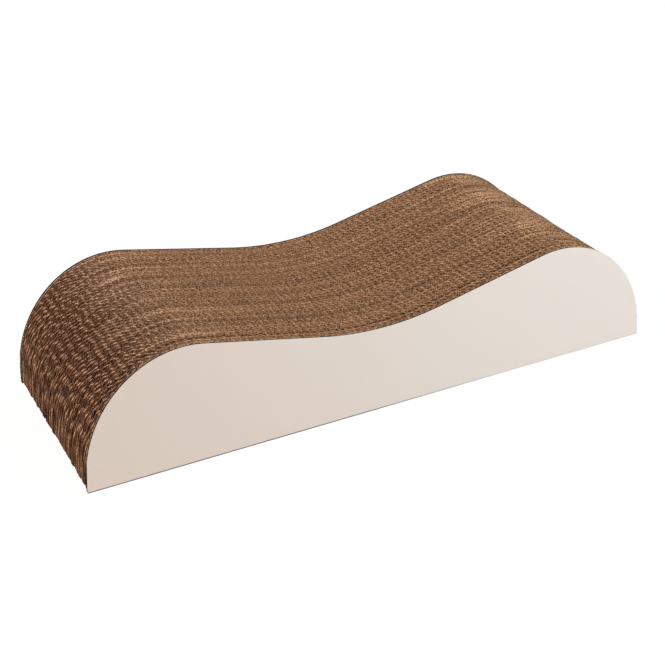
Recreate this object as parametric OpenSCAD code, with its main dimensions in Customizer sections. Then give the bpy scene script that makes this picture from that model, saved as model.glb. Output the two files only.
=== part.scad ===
// Wave-shaped scratching lounge: strips of corrugated board standing on edge,
// glued face to face between two smooth side panels.
// The long way is X, the strips are stacked along Y and Z is up.
// The origin is at the middle of the underside.

/* [Outline] */
// Length from end to end
length = 600; // [480:10:760]
// Height of the two crests above the ground
crest_h = 122; // [105:1:150]
// Height of the dip between the crests
dip_h = 88; // [60:1:98]
// Distance from each end to its crest
crest_in = 103; // [85:1:125]
// Radius of the crest on the side of the dip
crest_r = 91; // [60:1:110]
// Share of the run from crest to dip that is straight
ramp_share = 0.6; // [0.4:0.05:0.75]
// Height of the upright foot of each end
foot_h = 4.5; // [3:0.5:8]

/* [Board] */
// Number of board strips in the stack
strip_count = 39; // [24:1:50]
// Thickness of one double-wall strip
strip_t = 5.6; // [4.5:0.1:7]
// Thickness of a side panel
panel_t = 3.2; // [2:0.1:5]
// How far the panels stand proud of the strips all round
panel_lip = 1.1; // [0.6:0.1:2]
// Largest error in the cut of one strip
cut_error = 0.4; // [0.1:0.05:0.5]

/* [Hidden] */
strip_numbers = [1 : strip_count];

stack_w = strip_count * strip_t;
width = stack_w + 2 * panel_t;

// The ramp joins the crest arc to the dip arc along the common tangent.
run = length / 2 - crest_in;
drop = crest_h - dip_h;
ramp_l = ramp_share * run;
slope = 2 * atan2(drop, run + ramp_l);
dip_r = (run - ramp_l * cos(slope)) / sin(slope) - crest_r;

// Flat sides that stand for each arc of the outline
end_sides = 26;
crest_sides = 5;
dip_sides = 16;

// One cut error for each strip, the same on every build
error_seed = 11;
cut_errors = rands(-cut_error, cut_error, strip_count, error_seed);

panel_colour = [0.87, 0.82, 0.79];
strip_colours = [[0.60, 0.47, 0.36], [0.66, 0.52, 0.40], [0.55, 0.42, 0.31]];

function strip_name(i) = str("strip_", i < 10 ? "0" : "", i);

// Points of an arc about a centre, from angle a to angle b, measured from +X
function arc(centre, radii, a, b, sides) = [
    for (k = [0 : sides])
        let (t = a + (b - a) * k / sides)
        [centre.x + radii.x * cos(t), centre.y + radii.y * sin(t)]
];

function mirrored(points) = [for (k = [len(points) - 1 : -1 : 0]) [-points[k].x, points[k].y]];

// Left half of the outline, drawn in by inset on every edge: a quarter ellipse
// rises from the foot to the crest, and an arc rolls over to the ramp.
function half_outline(inset) = concat(
    [[inset - length / 2, inset]],
    arc([crest_in - length / 2, foot_h], [crest_in - inset, crest_h - foot_h - inset], 180, 90, end_sides),
    arc([crest_in - length / 2, crest_h - crest_r], [crest_r - inset, crest_r - inset],
        90 - slope / crest_sides, 90 - slope, crest_sides - 1)
);

// Whole outline in X and Z, with the dip's arc between its two halves
function outline(inset) = concat(
    half_outline(inset),
    arc([0, dip_h + dip_r], [dip_r + inset, dip_r + inset], 270 - slope, 270 + slope, dip_sides),
    mirrored(half_outline(inset))
);

// A board of the given outline, standing upright with its front face at y
module board(y, thickness, inset) {
    translate([0, y + thickness, 0])
        rotate([90, 0, 0])
            linear_extrude(height = thickness)
                polygon(outline(inset));
}

module front_panel() {
    color(panel_colour) board(-width / 2, panel_t, 0);
}

module back_panel() {
    color(panel_colour) board(stack_w / 2, panel_t, 0);
}

// Strip i of the stack, counted from the front panel
module strip(i) {
    color(strip_colours[i % len(strip_colours)])
        board((i - 1) * strip_t - stack_w / 2, strip_t, panel_lip + cut_errors[i - 1]);
}

front_panel();
back_panel();
for (i = strip_numbers) strip(i);
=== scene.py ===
import math

import bpy
import numpy as np
from mathutils import Matrix, Vector


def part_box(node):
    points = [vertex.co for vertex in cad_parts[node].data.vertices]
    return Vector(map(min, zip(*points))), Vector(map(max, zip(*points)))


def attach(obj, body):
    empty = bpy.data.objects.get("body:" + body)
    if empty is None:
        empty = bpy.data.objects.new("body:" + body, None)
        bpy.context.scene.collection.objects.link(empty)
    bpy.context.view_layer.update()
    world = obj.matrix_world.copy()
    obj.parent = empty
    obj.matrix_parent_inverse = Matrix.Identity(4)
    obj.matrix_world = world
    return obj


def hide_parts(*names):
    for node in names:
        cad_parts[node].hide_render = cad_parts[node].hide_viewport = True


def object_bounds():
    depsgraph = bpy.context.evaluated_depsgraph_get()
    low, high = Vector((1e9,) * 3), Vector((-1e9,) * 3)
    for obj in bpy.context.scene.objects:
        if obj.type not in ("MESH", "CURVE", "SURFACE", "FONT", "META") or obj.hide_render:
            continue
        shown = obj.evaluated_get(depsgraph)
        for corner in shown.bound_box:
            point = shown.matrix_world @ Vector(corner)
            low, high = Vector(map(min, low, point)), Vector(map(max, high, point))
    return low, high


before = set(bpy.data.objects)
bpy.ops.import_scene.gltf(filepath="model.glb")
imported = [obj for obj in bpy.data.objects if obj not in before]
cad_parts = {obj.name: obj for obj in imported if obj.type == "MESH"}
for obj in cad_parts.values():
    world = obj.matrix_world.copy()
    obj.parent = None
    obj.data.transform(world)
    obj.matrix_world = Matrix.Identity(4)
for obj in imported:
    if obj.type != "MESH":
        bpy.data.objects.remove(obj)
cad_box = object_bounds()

MM = 0.001

# The outline that every board follows, as the solids have it. The length and
# the crest height come from the frame.
HALF_LENGTH = cad_box[1][0]
CREST_H = cad_box[1][2]
DIP_H = 88 * MM
CREST_IN = 103 * MM
CREST_R = 91 * MM
FOOT_H = 4.5 * MM
RAMP_SHARE = 0.6

RUN = HALF_LENGTH - CREST_IN
RAMP = RAMP_SHARE * RUN
SLOPE = 2 * math.atan2(CREST_H - DIP_H, RUN + RAMP)
DIP_R = (RUN - RAMP * math.cos(SLOPE)) / math.sin(SLOPE) - CREST_R

# Board of the strips: two fluted papers between three liners. The coarse fluted paper takes the first share
# of the thickness. A wave is drawn in this many steps, and a liner in steps of this length.
LINER_T = 0.30 * MM
FLUTE_T = 0.24 * MM
COARSE_PITCH = 7.2 * MM
FINE_PITCH = 6.0 * MM
COARSE_SHARE = 0.62
STEPS_PER_FLUTE = 12
LINER_STEP = 3 * MM

# How far the papers stray: the middle liner to the side, each wave along the board and in its reach.
# The second number of a pair is the distance over which it changes.
LINER_WANDER = 0.12 * MM, 60 * MM
SLOW_DRIFT = 0.12, 70 * MM
QUICK_DRIFT = 0.035, 11 * MM
REACH_LOSS = 0.03, 16 * MM

# From one strip to the next the start of the waves walks on and jumps, counted in waves, and the seam is
# open down to a depth of its own, where that is more than nothing
PHASE_WALK = 0.08
PHASE_JUMP = 0.13
SEAM_MEAN = 0.3 * MM
SEAM_SPREAD = 0.8 * MM

# Depth of the sawn unevenness. Its swings are a share of that depth and the length over which they change.
LINER_CUT = 0.5 * MM
FLUTE_CUT = 0.7 * MM
SHORT_TEETH = 0.3, 1.7 * MM
LONG_TEETH = 0.2, 9 * MM

# Spread of the tone from strip to strip and from paper to paper
STRIP_TONES = 0.4
PAPER_TONES = 0.5

# How much the cut of each paper is fuzzed, from 0 to 1, and what the painted shade on one flank of each
# wave, fraying and streaks take from it
SEAM_FUZZ = 0.0
LINER_FUZZ = 0.22
COARSE_FUZZ = 0.85
FINE_FUZZ = 0.38
FLANK_SHADE = 0.7
FRAYED = 0.15
STREAKED = 0.65

# What the kraft paper's tone, streaks and fibres add up to, which runs from dark to light between two sums,
# and between which values the specks of its cut are torn
TONE_PART = 0.25
STREAK_PART = 0.5
FIBRE_PART = 0.3
DARK_TO_LIGHT = 0.1, 0.7
TORN = 0.37, 0.6

# What wear and painted light add between the crests and on over the right end, and what the painted
# highlights add on the crests, where along the board both fade in and out, which streaks are highlighted,
# and the lift that makes more of them highlighted towards the right crest
WORN_AND_LIT_FUZZ = 0.36
CREST_HIGHLIGHT = 0.9
WORN_AND_LIT_IN = -0.25, -0.16
WORN_AND_LIT_OUT = 0.26, 0.3
CREST_INNER = 0.11, 0.18
CREST_OUTER = 0.2, 0.27
HIGHLIGHT_STREAKS = 0.5, 0.66
FAR_CREST = 0.17, 0.25
FAR_LIFT = 0.17

# The pale fuzz reaches this far below the cut, measured upright, and further where the ends are steep. Below
# it the walls keep their dark colours, which paint the shade deep in the flutes.
FUZZ_AND_SHADE_DEPTH = 0.1 * MM, 1.1 * MM
STEEP_END = 0.285, 0.299
STEEP_SHARE = 0.35

# The map that a bake of a strip uses: for each paper, the rows that go to the front wall, the band below the
# rim, the cut edge, the back wall's band, that wall and the bottom. The ends lie at the right.
RIM_BAND = 3.2 * MM
ROWS = np.array([[0, 0.16], [0.16, 0.43], [0.43, 0.53], [0.53, 0.8], [0.8, 0.96], [0.975, 0.985]])
MAP_LENGTH = 0.98
CAP_SPOTS = np.array([[(u, v) for u, vs in zip(us, ((0, 0.5, 0.96), (0.96, 0.5, 0))) for v in vs]
                      for us in ((0.984, 0.99), (0.993, 0.999))])

# Board of the side panels: one fluted paper between a pale and a brown liner
PALE_LINER_T = 0.45 * MM
PANEL_PITCH = 6.4 * MM
INNER_CUT = 0.2 * MM
PANEL_FLUTE_CUT = 0.4 * MM
# The panels' core is painted in dark browns, as the shade inside their flutes and on the pale liner's cut
SHADED_CORE, PALE, KRAFT = 0, 1, 2

# Tone and fuzz of the panels' three papers
PALE_LOOK = 0.0, 0.3
INNER_LOOK = 0.3, 0.9
PANEL_FLUTE_LOOK = -0.4, 0.3

# The pale liner is painted warmer from right to left, as warm light falling on the left end, a little ragged
# by its mottle and fibres
PALE_WARM_LIGHT = -0.37, 0.2
MOTTLE_PART = 0.12
HAIR_PART = 0.1

# The dark band painted along the lower edge of the panels as their contact shadow fades out between two
# heights, which wander by a third length. It takes the first share left of a stretch of the length and the
# second right of it.
SHADOW_BAND = 0.5 * MM, 1.1 * MM
SHADOW_BAND_WANDER = 0.6 * MM
SHADOW_BAND_SHARES = 0.9, 0.1
SHADOW_BAND_FADE = -60 * MM, 160 * MM

# Fibre values that give a paper its least and its most roughness, and both of those for each paper
FIBRES = 0.2, 0.8
KRAFT_ROUGHNESS = 0.86, 0.98
PALE_ROUGHNESS = 0.62, 0.72

# The floor: its reach, how far it lies under the object, and how much of the light it throws back
FLOOR_REACH = 6.0
FLOOR_GAP = 0.1 * MM
FLOOR_GREY = 0.4

# Distances from the middle over which the dark patch under the object ends, and those over which the floor's
# glow comes up to its full strength from the share that leaves the object's shadow on it
UNDER_X = 0.28, 0.29
UNDER_Y = 0.1, 0.108
SHADOW_KEPT = 0.5, 1.5
SHADOW_GLOW = 0.94

# Seed of every random draw, and how strongly the surround lights the object
SEED = 20
SKY = 0.3

# Each lamp: its place, the side of its square and its power and colour
LAMP_AIM = 0, 0, 0.05
LAMPS = {
    "key": ((1.3, -1.5, 1.5), 0.5, 50, (1, 1, 1)),
    "left": ((-1.96, -0.17, 0.97), 0.4, 55, (1.0, 0.9, 0.8)),
    "back": ((0.9, 2.0, 1.0), 0.6, 25, (1, 1, 1)),
}


def top_height(x, inset):
    """Height of the outline above the ground at x, drawn in by inset: beyond the crest a quarter ellipse,
    then the crest's arc, the straight ramp and the dip's arc, the same on both sides of the middle."""
    u = np.abs(x)
    across = np.clip((u - RUN) / (CREST_IN - inset), 0, 1)
    end = FOOT_H + (CREST_H - FOOT_H - inset) * np.sqrt(1 - across**2)
    crest = CREST_H - CREST_R + np.sqrt(np.maximum((CREST_R - inset) ** 2 - (u - RUN) ** 2, 0))
    dip = DIP_H + DIP_R - np.sqrt(np.maximum((DIP_R + inset) ** 2 - u**2, 0))
    foot_of_ramp = DIP_H + DIP_R * (1 - math.cos(SLOPE)) - inset / math.cos(SLOPE)
    ramp = foot_of_ramp + (u - DIP_R * math.sin(SLOPE)) * math.tan(SLOPE)
    dip_end = (DIP_R + inset) * math.sin(SLOPE)
    crest_start = RUN - (CREST_R - inset) * math.sin(SLOPE)
    return np.select([u >= RUN, u >= crest_start, u > dip_end], [end, crest, ramp], dip)


def smooth_noise(rng, x, step):
    """Random values, one each step along x, joined by a cosine ease so that they wander from -1 to 1."""
    place = (x - x.min()) / step
    knots = rng.uniform(-1, 1, int(place.max()) + 3)
    i = place.astype(int)
    ease = 0.5 - 0.5 * np.cos(np.pi * (place - i))
    return knots[i] * (1 - ease) + knots[i + 1] * ease


def stray(rng, x, size_and_step):
    """A smooth random swing of the given size, which changes over the given step."""
    size, step = size_and_step
    return size * smooth_noise(rng, x, step)


def stations(inset, step):
    """Places along the board from end to end, evenly spaced at about the given step."""
    reach = HALF_LENGTH - inset
    return np.linspace(-reach, reach, int(round(2 * reach / step)) + 1)


class Shells:
    """Collects closed shells of paper and joins them into one mesh."""

    def __init__(self):
        self.points, self.quads, self.slots, self.map = [], [], [], []
        self.facts = {"rim": [], "tone": [], "fuzz": []}
        self.count = 0

    def add(self, x, y, thickness, inset, bottom, tone, fuzz, slots=(0, 0, 0)):
        """One upright paper: the path (x, y) in plan, moved half a thickness to either side along its
        normal, and carried from the bottom up to the outline, with one more row of points below the rim.
        Slots are those of its front, its edges and its back."""
        dx, dy = np.gradient(x), np.gradient(y)
        size = np.hypot(dx, dy)
        nx, ny = dy / size, -dx / size
        reach = HALF_LENGTH - np.min(inset)
        columns = []
        for side in (0.5, -0.5):
            sx = np.clip(x + nx * thickness * side, -reach, reach)
            sy = y + ny * thickness * side
            top = top_height(sx, inset)
            band = np.maximum(top - RIM_BAND, 0.5 * (top + bottom))
            column = [np.stack([sx, sy, height], 1) for height in (np.full_like(sx, bottom), band, top)]
            columns += column if side > 0 else column[::-1]
        ring = np.stack(columns, 1)
        n, sides = ring.shape[:2]
        front, edge, back = slots
        here = np.arange(sides)
        above = (here + 1) % sides
        base = self.count + sides * np.arange(n - 1)[:, None]
        walls = np.stack([base + here, base + sides + here, base + sides + above, base + above], -1)
        along = np.append(0, np.cumsum(np.hypot(np.diff(x), np.diff(y))))
        u = MAP_LENGTH * along / along[-1]
        low, high = ROWS[:, 0], ROWS[:, 1]
        spots = np.empty((n - 1, sides, 4, 2))
        spots[..., 0] = np.stack([u[:-1], u[1:], u[1:], u[:-1]], 1)[:, None]
        spots[..., 1] = np.stack([low, low, high, high], 1)
        cap = np.array([[0, 1, 4, 5], [1, 2, 3, 4]])
        ends = np.stack([cap + self.count, cap[:, ::-1] + self.count + sides * (n - 1)])
        patch = CAP_SPOTS[:, cap]
        patch[1] = patch[1, :, ::-1]
        self.points.append(ring.reshape(-1, 3))
        self.quads += [walls.reshape(-1, 4), ends.reshape(-1, 4)]
        self.slots += [np.tile([front, front, edge, back, back, edge], n - 1), np.full(4, edge)]
        self.map.append(np.concatenate([spots.reshape(-1, 2), patch.reshape(-1, 2)]))
        facts = {"rim": ring[:, 2:4, 2].mean(1), "tone": np.full(n, tone), "fuzz": fuzz + np.zeros(n)}
        for label, values in facts.items():
            self.facts[label].append(np.repeat(values, sides))
        self.count += sides * n

    def piece(self, name, materials, mapped):
        """The mesh object of all shells. Each point knows the height of the rim above it, the tone of its
        paper and how much its cut is fuzzed. A mapped piece has its papers one above the other on a map for
        the bake."""
        mesh = bpy.data.meshes.new(name)
        mesh.from_pydata(np.concatenate(self.points), [], np.concatenate(self.quads))
        mesh.polygons.foreach_set("material_index", np.concatenate(self.slots).astype(np.int32))
        for label, values in self.facts.items():
            attribute = mesh.attributes.new(label, "FLOAT", "POINT")
            attribute.data.foreach_set("value", np.concatenate(values).astype(np.float32))
        if mapped:
            papers = len(self.map)
            spots = np.concatenate([(part + (0, i)) / (1, papers) for i, part in enumerate(self.map)])
            mesh.uv_layers.new(name="OFBake").uv.foreach_set("vector", spots.astype(np.float32).ravel())
        for material in materials:
            mesh.materials.append(material)
        mesh.update()
        obj = bpy.data.objects.new(name, mesh)
        bpy.context.scene.collection.objects.link(obj)
        return obj


def ragged(rng, x, inset, depth):
    """The inset with the small unevenness of a sawn edge: half the depth further in, give or take a swing
    of short teeth and one of long ones."""
    return inset + depth * (0.5 + stray(rng, x, SHORT_TEETH) + stray(rng, x, LONG_TEETH))


def strip_piece(number, phase, seams, material):
    """One strip of double-wall board: two straight outer liners, a middle one that wanders a little in y,
    and two fluted papers, each a sine between the liners that it touches. Half a turn along each wave, on
    the flank that falls towards the front, the pale of the cut is taken away as painted shade on that flank.
    The outer liners are cut lower where the seam to the next strip is open."""
    rng = np.random.default_rng(SEED + number)
    node = f"strip_{number:02d}"
    low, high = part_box(node)
    inset = HALF_LENGTH - high[0]
    bottom = low[2]
    y0, y1 = low[1], high[1]
    thick = y1 - y0
    x = stations(inset, LINER_STEP)
    wander = stray(rng, x, LINER_WANDER)
    front = np.full_like(x, y0 + 0.5 * LINER_T)
    middle = y0 + COARSE_SHARE * thick + wander
    back = np.full_like(x, y1 - 0.5 * LINER_T)
    shells = Shells()
    liners = []
    strip_tone = rng.normal(0, STRIP_TONES)
    lines = (front, seams[0], SEAM_FUZZ), (middle, 0.0, LINER_FUZZ), (back, seams[1], SEAM_FUZZ)
    for line, seam, fuzz in lines:
        cut = ragged(rng, x, inset, LINER_CUT + seam)
        shells.add(x, line, LINER_T, cut, bottom, strip_tone + rng.normal(0, PAPER_TONES), fuzz)
        liners.append(line)
    for gap, (pitch, fuzz) in enumerate(((COARSE_PITCH, COARSE_FUZZ), (FINE_PITCH, FINE_FUZZ))):
        u = stations(inset, pitch / STEPS_PER_FLUTE)
        a, b = (np.interp(u, x, line) for line in liners[gap:gap + 2])
        drift = stray(rng, u, SLOW_DRIFT) + stray(rng, u, QUICK_DRIFT)
        reach = 0.5 * (b - a - LINER_T - FLUTE_T) * (1 - REACH_LOSS[0] + stray(rng, u, REACH_LOSS))
        turn = 2 * np.pi * (u / pitch + drift + phase[gap])
        # Painted shade: the pale of the cut is taken off the flank that falls towards the front
        flank_shaded_fuzz = fuzz * (1 - FLANK_SHADE * (0.5 + 0.5 * np.cos(turn)))
        tone = strip_tone + rng.normal(0, PAPER_TONES)
        cut = ragged(rng, u, inset, FLUTE_CUT)
        shells.add(u, 0.5 * (a + b) + reach * np.sin(turn), FLUTE_T, cut, bottom, tone, flank_shaded_fuzz)
    piece = shells.piece(f"flutes_{number:02d}", [material], True)
    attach(piece, "root")
    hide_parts(node)


def panel_piece(node, materials):
    """A side panel of single-wall board: a straight pale liner outside, a straight brown one inside, and
    between them a fluted paper that is a sine touching both."""
    rng = np.random.default_rng(SEED + len(node))
    low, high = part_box(node)
    inset = HALF_LENGTH - high[0]
    outward = 1 if high[1] > 0 else -1
    outer, inner = (high[1], low[1]) if outward > 0 else (low[1], high[1])
    shells = Shells()
    x = stations(inset, LINER_STEP)
    pale_y = outer - outward * 0.5 * PALE_LINER_T
    inner_y = inner + outward * 0.5 * LINER_T
    slots = (PALE, SHADED_CORE, SHADED_CORE) if outward < 0 else (SHADED_CORE, SHADED_CORE, PALE)
    shells.add(x, np.full_like(x, pale_y), PALE_LINER_T, np.full_like(x, inset), low[2], *PALE_LOOK, slots)
    cut = ragged(rng, x, inset, INNER_CUT)
    shells.add(x, np.full_like(x, inner_y), LINER_T, cut, low[2], *INNER_LOOK, (KRAFT, KRAFT, KRAFT))
    u = stations(inset, PANEL_PITCH / STEPS_PER_FLUTE)
    middle = 0.5 * (pale_y - outward * 0.5 * PALE_LINER_T + inner_y + outward * 0.5 * LINER_T)
    reach = abs(pale_y - inner_y) / 2 - 0.25 * (PALE_LINER_T + LINER_T) - 0.5 * FLUTE_T
    y = middle + reach * np.sin(2 * np.pi * u / PANEL_PITCH)
    shells.add(u, y, FLUTE_T, ragged(rng, u, inset, PANEL_FLUTE_CUT), low[2], *PANEL_FLUTE_LOOK)
    piece = shells.piece(f"lined_{node}", materials, False)
    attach(piece, "root")
    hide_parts(node)


class Value:
    """Wraps a number socket of a shader, so that plain sums in Python add its Math nodes."""

    def __init__(self, shader, socket):
        self.shader, self.socket = shader, socket

    def _sum(self, operation, a, b):
        node = self.shader.node("ShaderNodeMath", {"operation": operation}, {0: a, 1: b})
        return Value(self.shader, node.outputs[0])

    def __add__(self, other):
        return self._sum("ADD", self, other)

    def __radd__(self, other):
        return self._sum("ADD", other, self)

    def __sub__(self, other):
        return self._sum("SUBTRACT", self, other)

    def __rsub__(self, other):
        return self._sum("SUBTRACT", other, self)

    def __mul__(self, other):
        return self._sum("MULTIPLY", self, other)

    def __rmul__(self, other):
        return self._sum("MULTIPLY", other, self)


class Shader:
    """A material or a world under construction, with one method that adds any node."""

    def __init__(self, name, kind="materials", surface="Principled BSDF"):
        self.material = getattr(bpy.data, kind).new(name)
        self.material.use_nodes = True
        self.tree = self.material.node_tree
        self.surface = self.tree.nodes[surface]

    def node(self, kind, settings=None, inputs=None):
        """A node of this kind. Its settings are set first, then the values or links of its sockets."""
        node = self.tree.nodes.new(kind)
        for key, value in (settings or {}).items():
            setattr(node, key, value)
        for key, value in (inputs or {}).items():
            self.feed(node.inputs[key], value)
        return node

    def feed(self, socket, value):
        """Links a socket or a Value to this socket, or sets it."""
        if isinstance(value, Value):
            value = value.socket
        if isinstance(value, bpy.types.NodeSocket):
            self.tree.links.new(value, socket)
        else:
            socket.default_value = value

    def place(self, scale):
        """Object coordinates in metres, stretched by the scale of each axis."""
        own = self.node("ShaderNodeTexCoord").outputs["Object"]
        node = self.node("ShaderNodeMapping", {"vector_type": "POINT"}, {"Vector": own, "Scale": scale})
        return node.outputs[0]

    def noise(self, scale, detail, roughness, stretch=(1, 1, 1)):
        """Perlin noise from 0 to 1, with its scale in waves per metre."""
        node = self.node("ShaderNodeTexNoise", {}, {
            "Vector": self.place(stretch), "Scale": scale, "Detail": detail, "Roughness": roughness})
        return Value(self, node.outputs["Fac"])

    def attribute(self, name):
        """The number that each point of the mesh holds under this name."""
        return Value(self, self.node("ShaderNodeAttribute", {"attribute_name": name}).outputs["Fac"])

    def between(self, value, low, high, to_low=0.0, to_high=1.0):
        """A smooth step: to_low below low, to_high above high."""
        node = self.node("ShaderNodeMapRange", {"interpolation_type": "SMOOTHSTEP"}, {
            "Value": value, "From Min": low, "From Max": high, "To Min": to_low, "To Max": to_high})
        return Value(self, node.outputs[0])

    def fade_in(self, value, span):
        """0 below the span, 1 above it."""
        return self.between(value, *span)

    def fade_out(self, value, span):
        """1 below the span, 0 above it."""
        return self.between(value, *span, 1.0, 0.0)

    def mix(self, share, a, b):
        """Colour a where share is 0, and colour b where it is 1."""
        node = self.node("ShaderNodeMix", {"data_type": "RGBA"}, {0: share, 6: a, 7: b})
        return node.outputs[2]

    def seen(self):
        """1 where a ray of the camera, of a reflection or through glass arrives, and 0 for the light."""
        path = self.node("ShaderNodeLightPath")
        camera, glossy, through = (Value(self, path.outputs[f"Is {kind} Ray"])
                                   for kind in ("Camera", "Glossy", "Transmission"))
        return camera + glossy + through

    def axis(self, letter):
        """Object X, Y or Z, in metres."""
        own = self.node("ShaderNodeTexCoord").outputs["Object"]
        return Value(self, self.node("ShaderNodeSeparateXYZ", {}, {0: own}).outputs[letter])

    def bump(self, height, distance, strength):
        """Relief that rises by the distance where the height is 1, at a share of its full strength."""
        node = self.node("ShaderNodeBump", {}, {
            "Height": height, "Distance": distance, "Strength": strength})
        self.feed(self.surface.inputs["Normal"], node.outputs["Normal"])


def rgb(red, green, blue):
    """A colour given as 0 to 255 in sRGB, as the shader's linear colour."""
    share = np.array([red, green, blue]) / 255
    linear = np.where(share <= 0.04045, share / 12.92, ((share + 0.055) / 1.055) ** 2.4)
    return (*linear, 1.0)


def squares(span):
    """Both ends of the span squared, to compare with x times x, which is the same left and right."""
    return tuple(end**2 for end in span)


def kraft_paper(name, dark, light, fresh, worn_and_lit):
    """Brown kraft paper: each paper has its own tone, with long streaks along the boards and fibre flecks.
    Its walls are dark, as painted shade inside the flutes, and its cut rim is paler by the paper's own fuzz,
    which is frayed into fine specks and follows the streaks. Between the crests and on over the right end
    its rim is paler and more even, partly as wear and partly as painted light where the lamp at the right
    falls on that end, and long light lines are painted over both crests as highlights, most over the right
    one."""
    s = Shader(name)
    streak = s.noise(scale=1.0, detail=3.0, roughness=0.7, stretch=(8, 230, 6))
    fibre = s.noise(scale=900.0, detail=3.0, roughness=0.7, stretch=(1, 1, 0.25))
    torn = s.noise(scale=620.0, detail=1.5, roughness=0.8)
    mood = TONE_PART * s.attribute("tone") + STREAK_PART * streak + FIBRE_PART * fibre
    # The dark and light wall colours are painted shade inside the flutes
    walls = s.mix(s.fade_in(mood, DARK_TO_LIGHT), dark, light)
    x = s.axis("X")
    upright = s.attribute("rim") - s.axis("Z")
    depth = upright * s.between(x * x, *squares(STEEP_END), 1.0, STEEP_SHARE)
    # Paler rim from the left crest to the right end: partly wear, partly painted light on the right end
    # where the lamp at the right falls
    wear_and_light = s.fade_in(x, WORN_AND_LIT_IN) * s.fade_out(x, WORN_AND_LIT_OUT)
    crest = s.fade_in(x * x, squares(CREST_INNER)) * s.fade_out(x * x, squares(CREST_OUTER))
    lift = s.between(x, *FAR_CREST, 0.0, FAR_LIFT)
    # Painted highlight: long light lines over both crests, most over the right one, where the light catches
    # the ridges
    crest_highlight = crest * s.between(streak + lift, *HIGHLIGHT_STREAKS, 0.0, CREST_HIGHLIGHT)
    fuzz = s.attribute("fuzz")
    fuzz = fuzz + wear_and_light * WORN_AND_LIT_FUZZ * (1 - fuzz)
    fuzz = fuzz + crest_highlight * (1 - fuzz)
    frayed = s.between(torn, *TORN, FRAYED, 1.0) * s.between(mood, *DARK_TO_LIGHT, STREAKED, 1.0)
    # Pale fuzz near the cut, and below it the dark walls that paint the shade deep in the flutes
    rim = s.fade_out(depth, FUZZ_AND_SHADE_DEPTH) * fuzz * frayed
    s.feed(s.surface.inputs["Base Color"], s.mix(rim, walls, s.mix(wear_and_light, fresh, worn_and_lit)))
    s.feed(s.surface.inputs["Roughness"], s.between(fibre, *FIBRES, *KRAFT_ROUGHNESS))
    s.surface.inputs["Specular IOR Level"].default_value = 0.08
    s.bump(fibre, distance=0.15 * MM, strength=0.5)
    return s.material


def pale_liner(warm_lit, cool_lit, contact_shadow):
    """Pale coated liner of the side panels, barely glossy, with a faint mottle and hair-fine fibres, and
    painted a little warmer at the left end than at the right, as warm light falling there. Along its lower
    edge a dark band is painted as the contact shadow, most to the left of the middle, up to a height that
    wanders along the board."""
    s = Shader("pale_liner")
    mottle = s.noise(scale=16.0, detail=4.0, roughness=0.6)
    fibre = s.noise(scale=1300.0, detail=2.0, roughness=0.6, stretch=(0.3, 1, 1))
    x = s.axis("X")
    # Painted light: the pale liner is warmer at the left end, as warm light falling there
    tone = s.fade_in(x + MOTTLE_PART * (mottle - 0.5) + HAIR_PART * (fibre - 0.5), PALE_WARM_LIGHT)
    pale = s.mix(tone, warm_lit, cool_lit)
    wander = s.noise(scale=20.0, detail=3.0, roughness=0.6, stretch=(1, 0, 0))
    # Painted contact shadow: a dark band along the lower edge, most to the left of the middle
    shadow_band = s.fade_out(s.axis("Z") - SHADOW_BAND_WANDER * wander, SHADOW_BAND)
    share = shadow_band * s.between(x, *SHADOW_BAND_FADE, *SHADOW_BAND_SHARES)
    s.feed(s.surface.inputs["Base Color"], s.mix(share, pale, contact_shadow))
    s.feed(s.surface.inputs["Roughness"], s.between(fibre, *FIBRES, *PALE_ROUGHNESS))
    s.surface.inputs["Specular IOR Level"].default_value = 0.35
    s.bump(fibre, distance=0.05 * MM, strength=0.25)
    return s.material


def stage_floor():
    """Pale floor that the camera sees as white, with the object's soft shadow kept round it and the dark
    kept under it, where the open flutes look down on it."""
    level = cad_box[0][2] - FLOOR_GAP
    mesh = bpy.data.meshes.new("floor")
    corners = [(x * FLOOR_REACH, y * FLOOR_REACH, level) for x, y in ((-1, -1), (1, -1), (1, 1), (-1, 1))]
    mesh.from_pydata(corners, [], [(0, 1, 2, 3)])
    floor = bpy.data.objects.new("floor", mesh)
    bpy.context.scene.collection.objects.link(floor)
    s = Shader("floor_paper")
    s.surface.inputs["Roughness"].default_value = 0.9
    x, y = s.axis("X"), s.axis("Y")
    under = s.fade_out(x * x, squares(UNDER_X)) * s.fade_out(y * y, squares(UNDER_Y))
    seen = s.seen() * (1 - under)
    share = seen * s.between(x * x + y * y, *squares(SHADOW_KEPT), SHADOW_GLOW, 1.0)
    s.feed(s.surface.inputs["Base Color"], s.mix(seen, (*[FLOOR_GREY] * 3, 1), (1, 1, 1, 1)))
    glow = s.node("ShaderNodeEmission", {}, {"Color": (1, 1, 1, 1), "Strength": 1.0})
    blend = s.node("ShaderNodeMixShader", {}, {0: share, 1: s.surface.outputs[0], 2: glow.outputs[0]})
    s.feed(s.tree.nodes["Material Output"].inputs["Surface"], blend.outputs[0])
    mesh.materials.append(s.material)


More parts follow.
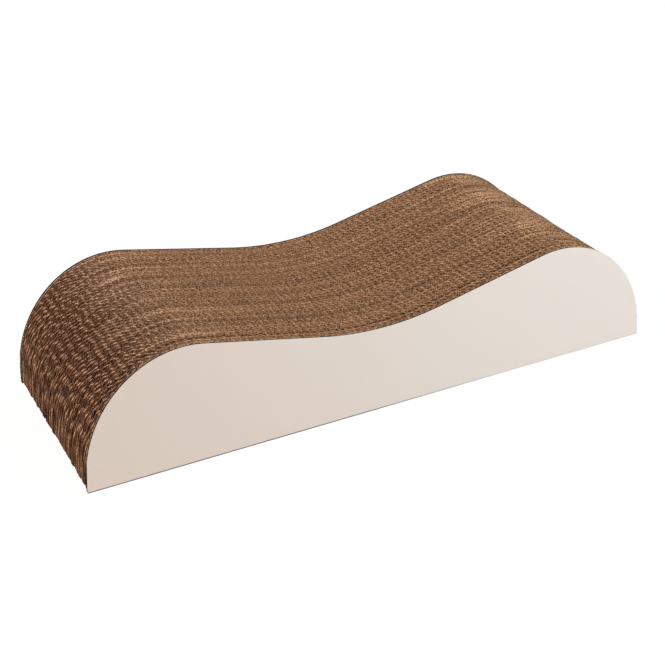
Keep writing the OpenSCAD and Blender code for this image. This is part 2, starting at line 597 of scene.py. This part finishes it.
def camera():
    """The photograph's camera: an orbit round a point near the middle of the object, with a small roll."""
    azimuth, elevation, roll = (math.radians(a) for a in (-25.06, 28.585, -2.269))
    distance, lens = 1.439, 76.21
    target = np.array([-2.06, -3.91, 31.78]) * MM
    back = np.array([math.sin(azimuth) * math.cos(elevation), -math.cos(azimuth) * math.cos(elevation),
                     math.sin(elevation)])
    right = np.cross(-back, [0, 0, 1])
    right /= np.linalg.norm(right)
    up = np.cross(back, right)
    turned = right * math.cos(roll) + up * math.sin(roll), -right * math.sin(roll) + up * math.cos(roll)
    data = bpy.data.cameras.new("camera")
    data.lens = lens
    obj = bpy.data.objects.new("camera", data)
    matrix = Matrix.Identity(4)
    for column, axis in enumerate((*turned, back, target + back * distance)):
        for row in range(3):
            matrix[row][column] = axis[row]
    obj.matrix_world = matrix
    bpy.context.scene.collection.objects.link(obj)
    bpy.context.scene.camera = obj


def lamp(name, place, size, power, colour):
    """A square soft lamp at a place, facing the middle of the object."""
    data = bpy.data.lights.new(name, "AREA")
    data.size = size
    data.energy = power
    data.color = colour
    obj = bpy.data.objects.new(name, data)
    turn = (Vector(place) - Vector(LAMP_AIM)).to_track_quat("Z", "Y").to_matrix().to_4x4()
    obj.matrix_world = Matrix.Translation(place) @ turn
    bpy.context.scene.collection.objects.link(obj)


def studio():
    """Soft studio light: a pale surround, a lamp high at the right of the front, a warm one at the left
    end whose low light picks out the waves there, and a weak one behind."""
    s = Shader("surround", "worlds", "Background")
    s.surface.inputs["Color"].default_value = (1, 1, 1, 1)
    s.feed(s.surface.inputs["Strength"], s.between(s.seen(), 0.0, 1.0, SKY, 1.0))
    bpy.context.scene.world = s.material
    for name, (place, size, power, colour) in LAMPS.items():
        lamp(name, place, size, power, colour)


bpy.context.scene.view_settings.view_transform = "Standard"
# The kraft's dark and light wall colours are darker than the paper, as painted shade inside the flutes
kraft = kraft_paper("kraft_paper", dark=rgb(70, 37, 19), light=rgb(98, 57, 32),
                    fresh=rgb(237, 206, 176), worn_and_lit=rgb(236, 194, 152))
# Dark browns of the panels' core: painted shade inside their flutes and on the pale liner's cut and inner
# face
shaded_core = kraft_paper("panel_core_shaded", dark=rgb(50, 38, 30), light=rgb(76, 60, 49),
                   fresh=rgb(128, 104, 86), worn_and_lit=rgb(128, 104, 86))
# The warm and cool pale colours paint warm light at the left end, and the dark one is the painted contact
# shadow along the lower edge
pale = pale_liner(warm_lit=rgb(218, 204, 193), cool_lit=rgb(220, 213, 206), contact_shadow=rgb(84, 70, 60))
walk = np.random.default_rng(SEED)
strip_count = sum(name.startswith("strip_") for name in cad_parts)
seams = np.maximum(walk.normal(SEAM_MEAN, SEAM_SPREAD, strip_count + 1), 0)
walked = np.cumsum(walk.normal(0, PHASE_WALK, (strip_count, 2)), axis=0)
starts = walked + walk.normal(0, PHASE_JUMP, (strip_count, 2))
for number in range(1, strip_count + 1):
    strip_piece(number, starts[number - 1], seams[number - 1:number + 1], kraft)
for node in ("front_panel", "back_panel"):
    panel_piece(node, [shaded_core, pale, kraft])
stage_floor()
studio()
camera()
